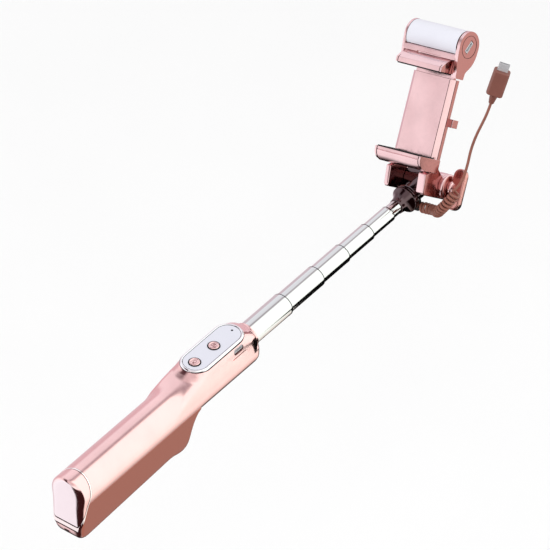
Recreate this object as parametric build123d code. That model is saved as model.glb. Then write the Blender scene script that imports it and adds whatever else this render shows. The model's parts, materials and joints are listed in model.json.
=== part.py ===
from build123d import *
import math
import os

# Selfie stick, millimetres. Origin: middle of the grip, on the barrel's own axis.
# +X is the user's right, +Y runs along the stick away from the user, +Z is up.

GRIP_FROM_REAR = 65.0      # distance from the handle's flat end to the origin
BARREL_R = 13.0            # outer radius of the round grip
BARREL_BORE_R = 12.0       # inside of the round grip
HANDLE_LEN = 180.0
POLE_Z = 4.0               # the telescopic pole lies above the barrel's axis, over the battery

# Belly (battery compartment) under the grip
CREASE_Z = -4.9
BELLY_TOP_HALF = 12.25
BELLY_LOW_HALF = 10.2
BELLY_LOW_Z = -32.2
BELLY_WALL = 1.5
SCREW_FROM_REAR = 105.4    # the screw that holds the belly to the barrel
LANYARD_PIN_Y = 3.4

# Rear cap, cut off by a tilted plane
CAP_Y = 8.0
CAP_SLOPE = 0.33
CAP_RING = 0.7

# Control panel on the raised nose
PANEL_REAR = 127.6         # centre of the panel's rear half circle
PANEL_FRONT = 158.9
PANEL_HALF = 8.3
BEZEL_HALF = 9.4
PANEL_TOP = 18.9
NOSE_TOP = 18.3
BUTTON_R = 3.85
LIGHT_BUTTON_Y = 126.2
SHUTTER_BUTTON_Y = 145.2
LED_Y = 163.4
BOARD_Z = 12.6
PORT_Y = 155.7

# Battery
CELL_R = 9.1
CELL_LEN = 65.0
CELL_Z = -18.2
CELL_REAR = 22.0

# Telescopic tubes, from the fattest to the thinnest
TUBE_R = [7.8, 7.15, 6.5, 5.85, 5.2, 4.55]
COLLAR_R = 8.8             # collar that holds the pole in the nose
TUBE_FRONT = [214.6, 248.0, 274.9, 300.7, 322.7, 335.4]
TUBE_LEN = [150.0, 146.0, 142.0, 138.0, 134.0, 127.0]
TUBE_WALL = 0.4
FIT = 0.05                 # radial clearance of the sliding and turning fits
LIP = 2.0                  # length of the rolled lip at each tube's front end
BUSH_LEN = 12.0

# Head: the hinge axis stands this far from the handle's flat end
HINGE_FROM_REAR = 362.0
HEAD_ROLL = 13.7           # the head stands turned on the pole by this much
HEAD_LEAN = 39.1           # the clamp leans forward from square to the pole by this much

# Clamp, in its own frame: x along the hinge, u up the clamp, v out towards the phone
ARM_OUT = 16.0
LEFT_ARM_IN = 12.0
RIGHT_ARM_IN = 9.6
CHANNEL_HALF = 17.0
CHANNEL_WALL = 1.6
PLATE_FRONT = 19.6
PLATE_BACK = 18.0
WALL_BACK = 14.0
CHANNEL_TOP = 66.5
JAW_HALF = 18.2
JAW_TIP = 36.3
BOTTOM_GRIP_U = 15.9
TOP_GRIP_U = 68.7
PAD_T = 0.7
SLIDER_FOOT = 24.0
SPRING_X = 8.0
SPRING_TOP = 37.4
LIGHT_U = 88.5
LIGHT_V = 20.6
LIGHT_R = 10.0
LIGHT_HALF = 20.0
EAR_OUT = 22.5

# Cord
CORD_D = 1.8
COIL_R = 3.7

PARTS = {}


def yr(from_rear):
    """Y of a point given by its distance from the handle's flat end."""
    return from_rear - GRIP_FROM_REAR


HINGE = (0.0, yr(HINGE_FROM_REAR), POLE_Z)
NECK = Location(HINGE) * Rotation(0, -HEAD_ROLL, 0)
HEAD = NECK * Rotation(-HEAD_LEAN, 0, 0)


def block(x0, x1, y0, y1, z0, z1):
    """A box by its two corners."""
    size = (x1 - x0, y1 - y0, z1 - z0)
    middle = ((x0 + x1) / 2, (y0 + y1) / 2, (z0 + z1) / 2)
    return Pos(*middle) * Box(*size)


def rod_y(r, y0, y1, x=0.0, z=0.0):
    """A cylinder along Y."""
    return Pos(x, (y0 + y1) / 2, z) * Rotation(90, 0, 0) * Cylinder(r, y1 - y0)


def rod_x(r, x0, x1, y=0.0, z=0.0):
    """A cylinder along X."""
    return Pos((x0 + x1) / 2, y, z) * Rotation(0, 90, 0) * Cylinder(r, x1 - x0)


def rod_z(r, z0, z1, x=0.0, y=0.0):
    """A cylinder along Z."""
    return Pos(x, y, (z0 + z1) / 2) * Cylinder(r, z1 - z0)


def side_plate(points, x0, x1):
    """A polygon of (y, z) points, extruded from x0 to x1."""
    wire = Polyline(*[(0, y, z) for y, z in points], close=True)
    return Pos(x0, 0, 0) * extrude(make_face(wire), amount=x1 - x0, dir=(1, 0, 0))


def section_bar(points, y0, y1):
    """A polygon of (x, z) points, extruded from y0 to y1."""
    wire = Polyline(*[(x, 0, z) for x, z in points], close=True)
    return Pos(0, y0, 0) * extrude(make_face(wire), amount=y1 - y0, dir=(0, 1, 0))


def plan_slab(points, z0, z1):
    """A polygon of (x, y) points, extruded from z0 to z1."""
    wire = Polyline(*[(x, y, 0) for x, y in points], close=True)
    return Pos(0, 0, z0) * extrude(make_face(wire), amount=z1 - z0, dir=(0, 0, 1))


def stadium(half, z0, z1, rear=PANEL_REAR, front=PANEL_FRONT):
    """The control panel's outline as a solid."""
    body = block(-half, half, yr(rear), yr(front), z0, z1)
    for end in (rear, front):
        body += rod_z(half, z0, z1, 0, yr(end))
    return body


def arc_points(cy, cz, r, start, stop, steps):
    """Points along an arc in the (y, z) plane."""
    out = []
    for i in range(steps + 1):
        a = math.radians(start + (stop - start) * i / steps)
        out.append((cy + r * math.cos(a), cz + r * math.sin(a)))
    return out


def clamp_plate(points, x0, x1):
    """A polygon of (v, u) points in the clamp's own frame, extruded from x0 to x1."""
    return side_plate([(-v, u) for v, u in points], x0, x1)


def clamp_block(x0, x1, v0, v1, u0, u1):
    """A box in the clamp's own frame."""
    return block(x0, x1, -v1, -v0, u0, u1)


def put(name, shape, place=None):
    """Keep one node, moved to its place."""
    PARTS[name] = shape if place is None else place * shape


# ---------------------------------------------------------------- handle

def nose_side():
    """Side outline of the barrel and its raised nose."""
    front = arc_points(yr(169), 8.4, 10.0, 90, 0, 8)
    chin = arc_points(yr(172), -6.0, 7.0, 0, -90, 6)
    return [(yr(-1), -20), (yr(-1), NOSE_TOP + 1)] + front + chin + [(yr(160), -14), (yr(60), -20)]


def nose_plan():
    """Top outline of the barrel with its rounded front."""
    right = [(14, yr(-1)), (14, yr(166))]
    for i in range(9):
        a = math.radians(90 * i / 8)
        right.append((4 + 9.2 * math.cos(a), yr(169.5) + 10.0 * math.sin(a)))
    left = [(-x, y) for x, y in reversed(right)]
    return right + left


def handle_outer():
    barrel = rod_y(BARREL_R, yr(0), yr(HANDLE_LEN))
    # stadium outlines from the top down: height, half width, centres of the rear and front half circles
    levels = [
        (NOSE_TOP, 9.9, PANEL_REAR, PANEL_FRONT),
        (16.6, 10.7, PANEL_REAR - 0.6, PANEL_FRONT + 1.5),
        (14.0, 11.1, PANEL_REAR - 3.4, PANEL_FRONT + 4.5),
        (11.5, 11.5, PANEL_REAR - 9.0, PANEL_FRONT + 6.5),
        (8.0, 12.1, PANEL_REAR - 14.0, PANEL_FRONT + 8.0),
        (1.5, 12.9, PANEL_REAR - 15.0, PANEL_FRONT + 8.1),
    ]
    faces = []
    for z, half, back, front in levels:
        outline = RectangleRounded(2 * half, front - back + 2 * half, half - 0.01)
        faces.append(Pos(0, yr((front + back) / 2), z) * outline)
    nose = loft(faces, ruled=True)
    body = barrel + nose
    body = body & side_plate(nose_side(), -20, 20)
    return body & plan_slab(nose_plan(), -30, 30)


def belly_side(inset):
    """Side outline of the belly: sloping floor, low bump at the front and an S-shaped front wall."""
    i = inset
    return [
        (yr(0.0 + i), -2.0),
        (yr(0.0 + i), -24.6),
        (yr(1.6 + i), -28.6),
        (yr(4.6 + i), BELLY_LOW_Z + 0.4 + i),
        (yr(9.0 + i), BELLY_LOW_Z + i),
        (yr(90.0), -29.2 + i),
        (yr(94.0), -29.9 + i),
        (yr(98.0), -31.2 + i),
        (yr(102.5), -31.4 + i),
        (yr(105.6 - i), -30.0 + i),
        (yr(107.3 - i), -26.8),
        (yr(108.4 - i), -22.5),
        (yr(110.4 - i), -16.2),
        (yr(112.2 - i), -12.4),
        (yr(114.6 - i), -8.9),
        (yr(118.5 - i), -6.0),
        (yr(120.0 - i), -2.0),
    ]


def belly_section(inset):
    i = inset
    return [
        (-BELLY_TOP_HALF + i, -2.0),
        (-BELLY_TOP_HALF + i, CREASE_Z),
        (-BELLY_LOW_HALF - 0.15 + i, -28.6),
        (-BELLY_LOW_HALF + 1.0 + i, -31.2 + i),
        (-BELLY_LOW_HALF + 2.6 + i, BELLY_LOW_Z - 0.1 + i),
        (BELLY_LOW_HALF - 2.6 - i, BELLY_LOW_Z - 0.1 + i),
        (BELLY_LOW_HALF - 1.0 - i, -31.2 + i),
        (BELLY_LOW_HALF + 0.15 - i, -28.6),
        (BELLY_TOP_HALF - i, CREASE_Z),
        (BELLY_TOP_HALF - i, -2.0),
    ]


def belly_outer(inset):
    solid = side_plate(belly_side(inset), -20, 20) & section_bar(belly_section(inset), yr(0), yr(125))
    return solid & block(-20, 20, yr(-5), yr(130), -40, CREASE_Z)


def behind_plane(offset):
    """Everything behind the tilted cut of the rear cap, moved forward by offset."""
    y = CAP_Y + offset
    points = [(yr(-30), 40), (yr(y + CAP_SLOPE * 40), 40), (yr(y - CAP_SLOPE * 60), -60), (yr(-30), -60)]
    return side_plate(points, -30, 30)


def make_handle():
    outer = handle_outer()
    belly = belly_outer(0.0)
    rear = behind_plane(0.0)
    ring_zone = behind_plane(CAP_RING)
    bore = rod_y(BARREL_BORE_R, yr(-2), yr(168))
    cell_slot = block(-9.7, 9.7, yr(4), yr(104), -14, CREASE_Z)
    nose_room = stadium(7.9, 4.0, 17.2)
    panel_seat = stadium(BEZEL_HALF, 17.2, 25.0)
    collar_hole = rod_y(COLLAR_R + 0.02, yr(160), yr(190), 0, POLE_Z)
    port_hole = block(5, 15, yr(PORT_Y - 4.35), yr(PORT_Y + 4.35), 13.2, 16.3)
    nail_groove = block(11.2, 14, yr(149.2), yr(162.3), 10.7, 11.3)
    housing = outer - bore - cell_slot - nose_room - panel_seat - collar_hole - port_hole - nail_groove
    housing = housing - ring_zone
    screw_y = yr(SCREW_FROM_REAR)
    screw_hole = rod_z(1.05, -33, -11.0, 0, screw_y)
    put("upper_housing", housing - screw_hole)

    room = belly_outer(BELLY_WALL) & block(-20, 20, yr(8), yr(101.5), -40, 0)
    tray = belly - rod_y(BARREL_R, yr(-2), yr(200)) - room - ring_zone
    eyelet = block(-3.4, 3.4, yr(-2), yr(6.6), -29.0, -26.4)
    head_hole = rod_z(2.0, -34, -29.6, 0, screw_y)
    pin = rod_z(0.8, -30.4, -25.2, 0, yr(LANYARD_PIN_Y))
    put("belly_housing", tray - eyelet - head_hole - screw_hole - pin)
    put("lanyard_pin", pin)
    put("housing_screw", rod_z(1.95, -31.0, -29.6, 0, screw_y) + rod_z(1.0, -29.6, -12.2, 0, screw_y))

    whole = outer + belly
    cap_body = whole & rear
    cap_room = rod_y(11.4, yr(3.0), yr(30)) + block(-9.2, 9.2, yr(3.0), yr(30), -22.5, 0)
    put("rear_cap", cap_body - cap_room)
    ring_room = rod_y(11.4, yr(-5), yr(30)) + block(-9.2, 9.2, yr(-5), yr(30), -22.5, 0)
    put("cap_ring", (whole & ring_zone) - rear - ring_room)

    # control panel, its bezel, buttons and light
    bezel = stadium(BEZEL_HALF - 0.02, 17.22, 18.7) + stadium(BEZEL_HALF - 0.45, 18.7, 19.2)
    put("panel_bezel", bezel - stadium(PANEL_HALF, 17.0, 20.0))
    panel = stadium(PANEL_HALF - 0.02, 17.4, PANEL_TOP)
    for y in (LIGHT_BUTTON_Y, SHUTTER_BUTTON_Y):
        panel -= rod_z(BUTTON_R + 0.15, 17, 20, 0, yr(y))
    panel -= rod_z(0.75, 17, 20, 0, yr(LED_Y))
    put("control_panel", panel)
    for name, y in (("light_button", LIGHT_BUTTON_Y), ("shutter_button", SHUTTER_BUTTON_Y)):
        cap = rod_z(BUTTON_R, 17.3, 19.4, 0, yr(y)) + rod_z(BUTTON_R - 0.35, 19.4, 19.75, 0, yr(y))
        foot = rod_z(4.6, 16.75, 17.3, 0, yr(y))
        put(name, cap + foot)
    put("status_led", rod_z(0.7, 16.6, 18.8, 0, yr(LED_Y)))
    put("control_board", block(-6.6, 6.6, yr(123.8), yr(160.5), BOARD_Z, BOARD_Z + 0.8))
    switches = []
    for y in (LIGHT_BUTTON_Y, SHUTTER_BUTTON_Y):
        base = block(-2.25, 2.25, yr(y) - 2.25, yr(y) + 2.25, BOARD_Z + 0.8, 15.4)
        switches.append(base + rod_z(1.2, 15.4, 16.15, 0, yr(y)))
    put("tact_switches", Compound(children=switches))
    shell = block(5.6, 10.9, yr(PORT_Y) - 3.9, yr(PORT_Y) + 3.9, 13.45, 16.15)
    shell -= block(6.4, 12, yr(PORT_Y) - 3.5, yr(PORT_Y) + 3.5, 13.85, 15.75)
    shell += block(6.0, 10.2, yr(PORT_Y) - 2.0, yr(PORT_Y) + 2.0, 14.7, 15.1)
    put("charge_port", shell)

    # battery and its contacts
    put("battery_cell", rod_y(CELL_R, yr(CELL_REAR), yr(CELL_REAR + CELL_LEN), 0, CELL_Z)
        + rod_y(2.8, yr(CELL_REAR + CELL_LEN), yr(CELL_REAR + CELL_LEN + 1.0), 0, CELL_Z))
    rear_plate = block(-6, 6, yr(CELL_REAR - 1.2), yr(CELL_REAR - 0.2), CELL_Z - 6, CELL_Z + 6)
    front_plate = block(-6, 6, yr(CELL_REAR + CELL_LEN + 1.2), yr(CELL_REAR + CELL_LEN + 2.2), CELL_Z - 6, CELL_Z + 6)
    put("battery_contacts", Compound(children=[rear_plate, front_plate]))

    # the pole runs through this collar in the nose
    collar = rod_y(COLLAR_R, yr(161), yr(176.4), 0, POLE_Z) - rod_y(TUBE_R[0] + FIT, yr(150), yr(190), 0, POLE_Z)
    put("nose_collar", collar)


# ---------------------------------------------------------------- pole

def make_tubes():
    for i, r in enumerate(TUBE_R):
        front = yr(TUBE_FRONT[i])
        rear = front - TUBE_LEN[i]
        tube = rod_y(r, rear, front, 0, POLE_Z) - rod_y(r - TUBE_WALL, rear - 1, front + 1, 0, POLE_Z)
        if i + 1 < len(TUBE_R):
            lip = rod_y(r - 0.05, front - LIP, front, 0, POLE_Z)
            tube += lip - rod_y(TUBE_R[i + 1] + FIT, front - LIP - 1, front + 1, 0, POLE_Z)
        put("tube_%d" % (i + 1), tube)
        if i:
            outer = TUBE_R[i - 1] - TUBE_WALL - FIT
            bush = rod_y(outer, rear, rear + BUSH_LEN, 0, POLE_Z) - rod_y(r, rear - 1, rear + BUSH_LEN + 1, 0, POLE_Z)
            put("tube_bush_%d" % (i + 1), bush)


# ---------------------------------------------------------------- neck

def make_neck():
    # trumpet collar at the pole's end, turned about the pole
    outline = [
        (TUBE_R[5], -31.2), (5.1, -31.2), (5.4, -29.0), (5.9, -26.8), (6.8, -24.8), (8.3, -23.2),
        (9.0, -22.2), (9.0, -19.2), (8.4, -18.2), (4.05, -18.2), (4.05, -26.0), (TUBE_R[5], -26.0),
    ]
    wire = Polyline(*[(r, y, 0) for r, y in outline], close=True)
    collar = revolve(make_face(wire), Axis.Y)
    put("flange_collar", collar, NECK)

    neck = rod_y(6.2, -18.0, -5.0) + rod_y(4.0, -25.6, -18.0)
    tongue = rod_x(8.0, -11.62, 9.22)
    boss = block(-3.6, 2.0, -14.4, -9.6, -13.2, -4.5)
    knuckle = neck + tongue
    knuckle = knuckle - rod_x(2.45, -20, 20) - boss
    put("hinge_knuckle", knuckle, NECK)
    gland = boss - rod_x(8.0, -20, 20) - rod_y(5.0, -18, -5)
    put("cord_gland", gland, NECK)


def make_hinge():
    bolt = rod_x(2.4, -16.0, 24.0) + rod_x(3.6, -17.6, -16.0)
    put("hinge_bolt", bolt, HEAD)
    put("hinge_nut", rod_x(5.6, -18.4, -16.02) - rod_x(3.62, -17.62, -15) - rod_x(2.42, -20, 0), HEAD)
    cap = rod_x(8.25, 16.02, 19.2) + rod_x(7.5, 19.2, 19.9)
    put("hinge_cap", cap - rod_x(2.42, 10, 25), HEAD)
    left = rod_x(6.0, -11.97, -11.67) - rod_x(2.42, -20, 20)
    right = rod_x(6.0, 9.27, 9.57) - rod_x(2.42, -20, 20)
    put("friction_washers", Compound(children=[left, right]), HEAD)
    stem = rod_x(3.5, 20.1, 26.0) + rod_x(5.2, 20.1, 21.4)
    paddle = block(20.9, 30.4, -2.3, 2.3, -8.6, 8.6)
    for z in (-8.6, 8.6):
        paddle += Pos(25.65, 0, z) * Rotation(90, 0, 0) * Cylinder(4.75, 4.6)
    put("t_knob", paddle + stem - rod_x(2.45, 15, 24.2), HEAD)


# ---------------------------------------------------------------- clamp

def arm_outline():
    ring = [(8.3 * math.cos(math.radians(a)), 8.3 * math.sin(math.radians(a))) for a in range(45, 271, 15)]
    lower = [(20.2, -8.3), (21.6, -7.2), (23.4, 4.8), (PLATE_FRONT, 6.4), (PLATE_FRONT, 20.0), (15.0, 20.0), (15.0, 12.5)]
    return ring + lower


def make_clamp():
    plate = clamp_block(-CHANNEL_HALF, CHANNEL_HALF, PLATE_BACK, PLATE_FRONT, 6.6, CHANNEL_TOP)
    for s in (-1, 1):
        x0, x1 = sorted((s * CHANNEL_HALF, s * (CHANNEL_HALF - CHANNEL_WALL)))
        plate += clamp_block(x0, x1, WALL_BACK, PLATE_FRONT, 14.0, CHANNEL_TOP)
    corner = [e for e in plate.edges().filter_by(Axis.Z) if abs(abs(e.center().X) - CHANNEL_HALF) < 0.01]
    front = [e for e in corner if abs(e.center().Y + PLATE_FRONT) < 0.01]
    plate = fillet(front, 1.4)
    frame = plate + clamp_plate(arm_outline(), -ARM_OUT, -LEFT_ARM_IN)
    frame += clamp_plate(arm_outline(), RIGHT_ARM_IN, ARM_OUT)
    frame = frame - rod_x(2.42, -25, 25)
    for x in (-8.0, 8.0):
        frame -= clamp_block(x - 1.0, x + 1.0, 17.0, 30.0, 9.4, 11.4)
    put("clamp_channel", frame, HEAD)

    cover = clamp_block(-15.35, 15.35, WALL_BACK, 15.3, 20.1, CHANNEL_TOP - 1.0)
    posts = []
    for u in (22.5, 62.5):
        posts.append(rod_y(1.9, -14.0, -13.2, 0, u) + rod_y(0.95, -15.3, -14.0, 0, u))
        cover -= rod_y(0.97, -15.4, -13.0, 0, u)
    put("channel_cover", cover, HEAD)
    put("cover_screws", Compound(children=posts), HEAD)

    jaw = clamp_plate([
        (PLATE_FRONT + 0.1, 6.9), (28.5, 6.6), (32.6, 7.9), (35.2, 10.2), (JAW_TIP, 12.4),
        (JAW_TIP, 15.2), (PLATE_FRONT + 0.1, 15.2),
    ], -JAW_HALF, JAW_HALF)
    jaw -= clamp_plate([(JAW_TIP - 0.5, 12.9), (40, 12.9), (40, 13.4), (JAW_TIP - 0.5, 13.4)], -16.4, 16.4)
    for s in (-1, 1):
        x0, x1 = sorted((s * (CHANNEL_HALF + 0.05), s * JAW_HALF))
        jaw += clamp_block(x0, x1, 15.0, 24.0, 6.9, 15.2)
        x2, x3 = sorted((s * 16.4, s * 16.8))
        jaw -= clamp_block(x2, x3, JAW_TIP - 6.0, 40, 5.0, 16.0)
    for x in (-8.0, 8.0):
        jaw += clamp_block(x - 0.95, x + 0.95, 17.6, PLATE_FRONT + 0.1, 9.5, 11.3)
    put("bottom_jaw", jaw, HEAD)
    put("bottom_jaw_pad", clamp_block(-16.3, 16.3, 20.4, JAW_TIP + 0.3, 15.22, BOTTOM_GRIP_U), HEAD)

    # the upper jaw's tongue, which stays 12 mm inside the channel at full opening
    tongue = clamp_block(-15.1, 15.1, 15.6, 17.8, SLIDER_FOOT, 78.0)
    springs = []
    for x in (-SPRING_X, SPRING_X):
        tongue -= clamp_block(x - 1.4, x + 1.4, 15.0, 18.0, SLIDER_FOOT - 1.0, SPRING_TOP + 0.6)
        springs.append(rod_z(1.0, 20.5, SPRING_TOP, x, -16.65))
    put("slider_plate", tongue, HEAD)
    put("jaw_springs", Compound(children=springs), HEAD)

    lug = clamp_block(13.0, 19.6, 8.4, 13.95, 36.8, 42.0)
    lug -= rod_z(1.25, 30, 50, 17.3, -8.6)
    put("cable_clip", lug, HEAD)


def make_top_jaw():
    jaw = clamp_plate([
        (17.85, TOP_GRIP_U + PAD_T), (JAW_TIP + 0.9, TOP_GRIP_U + PAD_T), (JAW_TIP + 0.9, 72.6), (33.4, 76.0),
        (29.6, 77.9), (17.85, 77.9),
    ], -JAW_HALF, JAW_HALF)
    for s in (-1, 1):
        x2, x3 = sorted((s * 16.4, s * 16.8))
        jaw -= clamp_block(x2, x3, 31.0, 40, 60.0, 74.0)
    put("top_jaw", jaw, HEAD)
    pad = clamp_block(-16.3, 16.3, 20.4, JAW_TIP + 1.1, TOP_GRIP_U, TOP_GRIP_U + PAD_T - 0.02)
    put("top_jaw_pad", pad, HEAD)


def ear_outline():
    """Round head over a waisted neck, as (v, u)."""
    head = []
    for a in range(-20, 201, 20):
        head.append((LIGHT_V - 0.6 + LIGHT_R * math.cos(math.radians(a)), LIGHT_U + LIGHT_R * math.sin(math.radians(a))))
    neck = [(11.0, 80.5), (13.2, 76.0), (17.0, 72.6), (18.4, 69.6), (26.6, 69.6), (28.2, 73.5), (28.8, 79.0)]
    return head + neck


def make_light():
    base = clamp_block(-EAR_OUT, EAR_OUT, 12.4, 29.2, 78.05, 82.2)
    base -= clamp_block(-9.6, 9.6, 28.6, 40.0, 78.0, 78.7)
    ring = rod_x(LIGHT_R, -LIGHT_HALF, LIGHT_HALF, -LIGHT_V, LIGHT_U)
    ring -= rod_x(LIGHT_R - 1.3, -30, 30, -LIGHT_V, LIGHT_U)
    back = ring & clamp_block(-30, 30, 0, 15.6, 82.0, 110)
    body = base + back
    for s in (-1, 1):
        x0, x1 = sorted((s * (LIGHT_HALF - 0.01), s * EAR_OUT))
        body += clamp_plate(ear_outline(), x0, x1)
        x2, x3 = sorted((s * (JAW_HALF + 0.05), s * LIGHT_HALF))
        body += clamp_block(x2, x3, 18.6, 26.4, 69.8, 80.0)
    disc_seat = rod_x(7.3, EAR_OUT - 0.9, EAR_OUT + 2, -LIGHT_V + 0.6, LIGHT_U)
    port_turn = Pos(0, -LIGHT_V + 0.6, LIGHT_U) * Rotation(-30, 0, 0)
    port_seat = port_turn * block(14.0, 30, -1.6, 1.6, -4.4, 4.4)
    put("light_housing", body - disc_seat - port_seat, HEAD)
    disc = rod_x(7.25, EAR_OUT - 0.88, EAR_OUT - 0.1, -LIGHT_V + 0.6, LIGHT_U)
    put("port_disc", disc - port_turn * block(14.0, 30, -1.65, 1.65, -4.45, 4.45), HEAD)
    shell = port_turn * (block(16.6, EAR_OUT - 0.2, -1.35, 1.35, -3.9, 3.9))
    shell -= port_turn * (block(17.4, EAR_OUT + 2, -0.95, 0.95, -3.5, 3.5))
    shell += port_turn * (block(17.2, EAR_OUT - 1.0, -0.2, 0.2, -2.0, 2.0))
    put("light_port", shell, HEAD)
    front = ring & clamp_block(-LIGHT_HALF + 0.05, LIGHT_HALF - 0.05, 15.65, 40, 82.25, 110)
    put("light_diffuser", front, HEAD)
    put("led_board", clamp_block(-15.5, 15.5, 17.2, 18.4, 82.25, 95.0), HEAD)
    leds = []
    for row in (85.6, 91.4):
        for k in range(5):
            x = -13.0 + 6.5 * k
            leds.append(clamp_block(x - 1.4, x + 1.4, 18.42, 19.4, row - 1.6, row + 1.6))
    put("light_leds", Compound(children=leds), HEAD)


# ---------------------------------------------------------------- cord

# the coil's own centre line, in the neck's frame
COIL = [(2.0, -12.0, -11.0), (9.0, -12.0, -11.0), (15.0, -12.6, -10.4), (21.0, -17.4, -7.4), (27.0, -19.8, -2.0),
        (33.0, -18.2, 3.8), (37.0, -13.4, 9.0)]

# the free lead up to the plug, from the hinge point, in world axes
LEAD = [(32.89, -15.08, 19.26), (35.5, -10.4, 25.1), (35.1, -4.5, 33.6), (34.0, 0.4, 43.6), (35.6, 3.8, 54.2),
        (38.3, 6.6, 63.8), (40.5, 8.6, 72.2), (41.6, 10.3, 79.0)]


def corner_radii(points):
    """Arc at each corner: 0.45 of the shorter run over the tangent of half the turn."""
    radii = []
    for a, b, c in zip(points, points[1:], points[2:]):
        one = Vector(*b) - Vector(*a)
        two = Vector(*c) - Vector(*b)
        turn = math.radians(one.get_angle(two))
        radii.append(0.45 * min(one.length, two.length) / math.tan(turn / 2))
    return radii


def tube_along(points, r):
    """A round solid along straight runs joined by tangent arcs."""
    radii = corner_radii(points)
    path = FilletPolyline(*points, radius=radii)
    start = Plane(origin=path @ 0, z_dir=path % 0)
    solid = sweep(start * Circle(r), path=path)
    print("path %.1f mm, radii %s, volume ratio %.3f" % (
        path.length, [round(v, 1) for v in radii], solid.volume / (math.pi * r * r * path.length)))
    return solid


def from_hinge(p):
    return (HINGE[0] + p[0], HINGE[1] + p[1], HINGE[2] + p[2])


def make_cord():
    put("cord_coil", tube_along(COIL, COIL_R), NECK)
    lead = [from_hinge(p) for p in LEAD]
    put("cord_lead", tube_along(lead, CORD_D / 2))
    end = Vector(*lead[-1])
    way = (end - Vector(*lead[-2])).normalized()
    plug = Plane(origin=end, z_dir=way, x_dir=Vector(0.874, 0.434, -0.215))
    relief = Location(plug) * (Cone(1.7, 2.9, 7.0, align=(Align.CENTER, Align.CENTER, Align.MIN)))
    put("plug_strain_relief", relief)
    grip = extrude(RectangleRounded(10.6, 7.0, 2.2), amount=18.0)
    put("plug_overmold", Location(plug) * Pos(0, 0, 7.0) * grip)
    shell = block(-3.4, 3.4, -0.92, 0.92, 25.0, 30.6) - block(-3.1, 3.1, -0.62, 0.62, 26.0, 32.0)
    put("plug_shell", Location(plug) * shell)
    put("plug_tongue", Location(plug) * block(-2.4, 2.4, -0.55, 0.0, 26.0, 30.0))


def main():
    os.makedirs("parts", exist_ok=True)
    make_handle()
    make_tubes()
    make_neck()
    make_hinge()
    make_clamp()
    make_top_jaw()
    make_light()
    make_cord()
    for name, shape in PARTS.items():
        shape.label = name
        export_step(shape, "parts/%s.step" % name)
    print(len(PARTS), "nodes")


main()
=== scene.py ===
import bmesh
import bpy
import json
import math
from mathutils import Matrix, Vector


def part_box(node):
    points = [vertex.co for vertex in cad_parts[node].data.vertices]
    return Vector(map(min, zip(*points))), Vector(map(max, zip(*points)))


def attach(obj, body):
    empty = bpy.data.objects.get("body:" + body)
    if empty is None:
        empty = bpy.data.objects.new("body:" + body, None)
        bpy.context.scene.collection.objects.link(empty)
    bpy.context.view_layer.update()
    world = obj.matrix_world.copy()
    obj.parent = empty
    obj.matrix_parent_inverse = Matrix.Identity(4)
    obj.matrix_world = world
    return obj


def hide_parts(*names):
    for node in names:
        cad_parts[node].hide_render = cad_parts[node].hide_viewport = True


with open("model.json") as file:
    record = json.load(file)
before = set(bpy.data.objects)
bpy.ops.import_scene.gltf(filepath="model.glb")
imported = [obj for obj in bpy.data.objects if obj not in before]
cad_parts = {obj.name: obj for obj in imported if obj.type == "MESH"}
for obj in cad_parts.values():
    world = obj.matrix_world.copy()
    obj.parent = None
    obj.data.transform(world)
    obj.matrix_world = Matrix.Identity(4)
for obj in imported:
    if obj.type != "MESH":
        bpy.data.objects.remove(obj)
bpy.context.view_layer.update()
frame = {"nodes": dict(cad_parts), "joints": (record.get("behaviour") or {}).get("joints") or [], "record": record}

MM = 0.001                 # shapes below are drawn in millimetres
JOINTS = {j["name"]: j for j in frame["joints"]}
SLOT_OF = {s["node"]: s["material_slot"] for s in frame["record"]["subparts"]}

# Handle: distances along the stick are from its flat end
REAR_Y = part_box("rear_cap")[0].y / MM
BARREL_R = 13.0
POLE_Z = JOINTS["clamp_tilt"]["pos_m"][2] / MM
NOSE_HALF = 12.9
NOSE_TALL = 28.5           # the nose's side is an arc of an ellipse this tall, cut off at its top
NOSE_TOP = 18.2
PANEL_REAR = 127.6
PANEL_FRONT = 158.9
NOSE_START = 172.6         # the nose starts to round off towards the pole
NOSE_LOW_START = 171.5     # the same for its underside
NOSE_PULL = 174.0          # from here its section closes to the rim round the pole
NOSE_TIP = 178.3
RIM_R = 9.15
COLLAR_HOLE_R = 8.84
COLLAR_HOLE_END = 165.0
PORT_Y = 155.7
PORT_Z = 14.2
PORT_GROOVE_Z = 10.5
TRIM_LEN = 0.95            # width of the bright ring between cap and barrel
SHELL_START = 1.25         # the barrel and belly start this far ahead of the cap's plane
LANYARD_Z = -28.4
CAP_Y = 7.1
CAP_SLOPE = 0.33
CREASE_Z = -4.4
BELLY_TOP_HALF = 12.35
BELLY_LOW_HALF = 10.2
BELLY_LOW_Z = -28.6
END_FILLET = 3.6
RING_POINTS = 96

# Cord, metres
CORD_D = 0.0018
COIL_LOOP_R = 0.0028
COIL_TURNS = 18
POINTS_PER_TURN = 14


# ---------------------------------------------------------------- frames

def columns(x, y, z, origin):
    """A placing matrix from its three axes and origin."""
    m = Matrix((x, y, z)).transposed().to_4x4()
    m.translation = origin
    return m


def head_frames():
    """The neck's and the clamp's own frames, read from the joints."""
    tilt, slide = JOINTS["clamp_tilt"], JOINTS["jaw_slide"]
    hinge = Vector(tilt["pos_m"])
    across = -Vector(tilt["axis"]).normalized()
    up = Vector(slide["axis"]).normalized()
    along = Vector((0, 1, 0))
    neck = columns(across, along, across.cross(along), hinge)
    head = columns(across, up.cross(across), up, hinge)
    return hinge, neck, head


HINGE, NECK, HEAD = head_frames()


# ---------------------------------------------------------------- mesh helpers

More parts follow.
